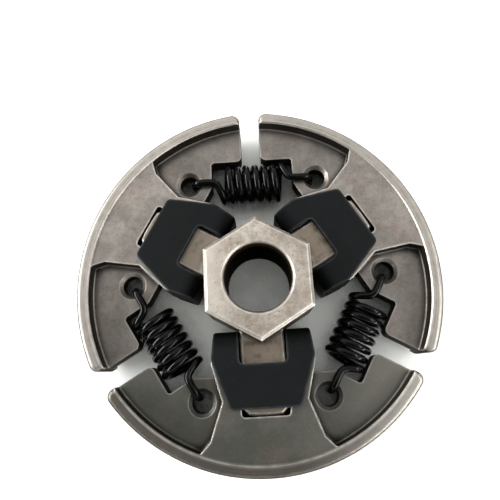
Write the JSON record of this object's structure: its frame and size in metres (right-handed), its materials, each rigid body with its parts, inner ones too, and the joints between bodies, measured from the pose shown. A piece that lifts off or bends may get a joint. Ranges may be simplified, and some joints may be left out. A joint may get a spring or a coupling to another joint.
{
  "type": "centrifugal chainsaw clutch",
  "caption": "Centrifugal clutch for a chainsaw: a hexagonal hub with radial arms carries sliding sintered shoes, held in by hooked tension springs and sheet retainers.",
  "frame": {"origin": "on the hub's axis, in the plane of the hub's back face, on which the clutch lies", "axes": "+Z along the hub's axis towards the hexagonal face; -Y along the first shoe's arm"},
  "size_m": [0.066, 0.0659, 0.0145],
  "materials": {
    "hub_steel": "tumbled sintered steel, light warm grey with fine pits",
    "shoe_steel": "tumbled sintered steel, warm grey with bright worn edges",
    "retainer_sheet": "matte blue-black oxide on folded sheet steel",
    "spring_wire": "glossy black coated spring wire"
  },
  "bodies": {
    "carrier": {"carrier": "hub_steel", "tension_spring_1": "spring_wire", "tension_spring_2": "spring_wire", "tension_spring_3": "spring_wire"},
    "shoe_1": {"clutch_shoe_1": "shoe_steel", "retainer_1": "retainer_sheet"},
    "shoe_2": {"clutch_shoe_2": "shoe_steel", "retainer_2": "retainer_sheet"},
    "shoe_3": {"clutch_shoe_3": "shoe_steel", "retainer_3": "retainer_sheet"}
  },
  "joints": [
    {"name": "shoe_1_slide", "type": "slide", "parent": "carrier", "child": "shoe_1", "axis": [0, -1, 0], "range_m": [0, 0.0015], "stiffness_N_per_m": 20000, "springref_m": -0.0003, "deforming": ["tension_spring_1", "tension_spring_3"]},
    {"name": "shoe_2_slide", "type": "slide", "parent": "carrier", "child": "shoe_2", "axis": [0.866, 0.5, 0], "range_m": [0, 0.0015], "stiffness_N_per_m": 20000, "springref_m": -0.0003, "deforming": ["tension_spring_2", "tension_spring_1"]},
    {"name": "shoe_3_slide", "type": "slide", "parent": "carrier", "child": "shoe_3", "axis": [-0.866, 0.5, 0], "range_m": [0, 0.0015], "stiffness_N_per_m": 20000, "springref_m": -0.0003, "deforming": ["tension_spring_3", "tension_spring_2"]}
  ]
}
